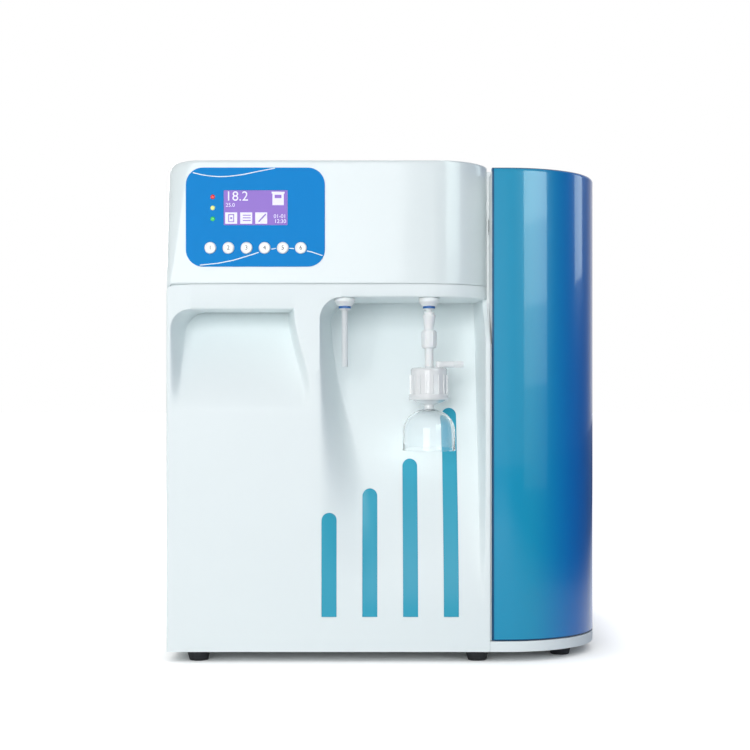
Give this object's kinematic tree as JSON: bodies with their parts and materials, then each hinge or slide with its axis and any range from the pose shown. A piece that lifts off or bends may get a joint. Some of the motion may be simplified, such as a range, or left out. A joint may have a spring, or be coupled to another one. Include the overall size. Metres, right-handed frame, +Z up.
{
  "type": "ultrapure water system",
  "caption": "Bench ultrapure water system with a scooped front, a membrane key panel, two outlets, a hanging final filter and a wrap-round side door.",
  "frame": {"origin": "on the bench plane, at the middle of the overall footprint", "axes": "+Z up; +Y to the back, so the operator stands on the -Y side; +X to the right, where the door is"},
  "size_m": [0.44, 0.4672, 0.502],
  "materials": {
    "white_shell": "satin gloss moulded plastic",
    "white_sheet": "white powder coat",
    "door_blue": "high gloss",
    "stripe_teal": "satin",
    "panel_blue": "printed overlay, matt",
    "display_violet": "backlit window",
    "lamp_red": "tinted lens",
    "lamp_yellow": "tinted lens",
    "lamp_green": "tinted lens",
    "key_white": "glossy",
    "nylon_white": "moulded, matt",
    "clip_blue": "moulded, matt",
    "clear_plastic": "clear",
    "black_rubber": "matt",
    "bright_steel": "satin",
    "psu_aluminium": "satin",
    "grey_plastic": "moulded, matt",
    "black_plastic": "moulded, matt",
    "board_green": "solder mask",
    "cartridge_white": "moulded, satin",
    "cartridge_blue": "moulded, satin",
    "hose_clear": "translucent"
  },
  "bodies": {
    "cabinet": {"base_tray": "white_shell", "feet": "black_rubber", "foot_screws": "bright_steel", "left_side_panel": "white_sheet", "rear_panel": "white_sheet", "top_cover": "white_shell", "bay_top": "white_sheet", "partition_plate": "white_sheet", "front_fascia": "white_shell", "stripe_inlays": "stripe_teal", "head_cover": "white_shell", "control_panel": "panel_blue", "display_window": "display_violet", "lcd_module": "grey_plastic", "control_board": "board_green", "lamp_red": "lamp_red", "lamp_yellow": "lamp_yellow", "lamp_green": "lamp_green", "outlet_bushings": "nylon_white", "outlet_collets": "nylon_white", "lock_clips": "clip_blue", "nozzle_tube": "clear_plastic", "catch_magnets": "grey_plastic", "pretreatment_cartridge": "cartridge_white", "ro_membrane_housing": "cartridge_white", "polishing_cartridges": "cartridge_blue", "cartridge_caps": "clip_blue", "cartridge_clips": "grey_plastic", "cartridge_hoses": "hose_clear", "pump_motor": "grey_plastic", "pump_head": "black_plastic", "pump_bracket": "bright_steel", "power_supply": "psu_aluminium", "uv_reactor": "bright_steel", "uv_clips": "grey_plastic", "solenoid_valves": "black_plastic", "rear_ports": "nylon_white", "port_collets": "clip_blue", "power_inlet": "black_plastic", "inlet_pins": "bright_steel", "cooling_fan": "black_plastic", "panel_screws": "bright_steel"},
    "door": {"side_door": "door_blue", "hinge_pins": "bright_steel", "door_strikers": "bright_steel"},
    "filter": {"filter_stem": "nylon_white", "filter_capsule": "clear_plastic", "filter_vent": "nylon_white", "filter_bell": "clear_plastic"},
    "rocker": {"power_rocker": "black_plastic"},
    "key1": {"key_1": "key_white"},
    "key2": {"key_2": "key_white"},
    "key3": {"key_3": "key_white"},
    "key4": {"key_4": "key_white"},
    "key5": {"key_5": "key_white"},
    "key6": {"key_6": "key_white"}
  },
  "joints": [
    {"name": "door_hinge", "type": "hinge", "parent": "cabinet", "child": "door", "pos_m": [0.212, 0.21215, 0.25], "axis": [0, 0, 1], "range_deg": [0, 100]},
    {"name": "filter_swivel", "type": "hinge", "parent": "cabinet", "child": "filter", "pos_m": [0.0435, -0.20685, 0.33], "axis": [0, 0, 1], "continuous": true},
    {"name": "rocker_tilt", "type": "hinge", "parent": "cabinet", "child": "rocker", "pos_m": [0.06, 0.22215, 0.1045], "axis": [1, 0, 0], "range_deg": [-16, 0]},
    {"name": "key_1_press", "type": "slide", "parent": "cabinet", "child": "key1", "axis": [0, 1, 0], "range_m": [0, 0.0008], "stiffness_N_per_m": 500},
    {"name": "key_2_press", "type": "slide", "parent": "cabinet", "child": "key2", "axis": [0, 1, 0], "range_m": [0, 0.0008], "stiffness_N_per_m": 500},
    {"name": "key_3_press", "type": "slide", "parent": "cabinet", "child": "key3", "axis": [0, 1, 0], "range_m": [0, 0.0008], "stiffness_N_per_m": 500},
    {"name": "key_4_press", "type": "slide", "parent": "cabinet", "child": "key4", "axis": [0, 1, 0], "range_m": [0, 0.0008], "stiffness_N_per_m": 500},
    {"name": "key_5_press", "type": "slide", "parent": "cabinet", "child": "key5", "axis": [0, 1, 0], "range_m": [0, 0.0008], "stiffness_N_per_m": 500},
    {"name": "key_6_press", "type": "slide", "parent": "cabinet", "child": "key6", "axis": [0, 1, 0], "range_m": [0, 0.0008], "stiffness_N_per_m": 500}
  ]
}
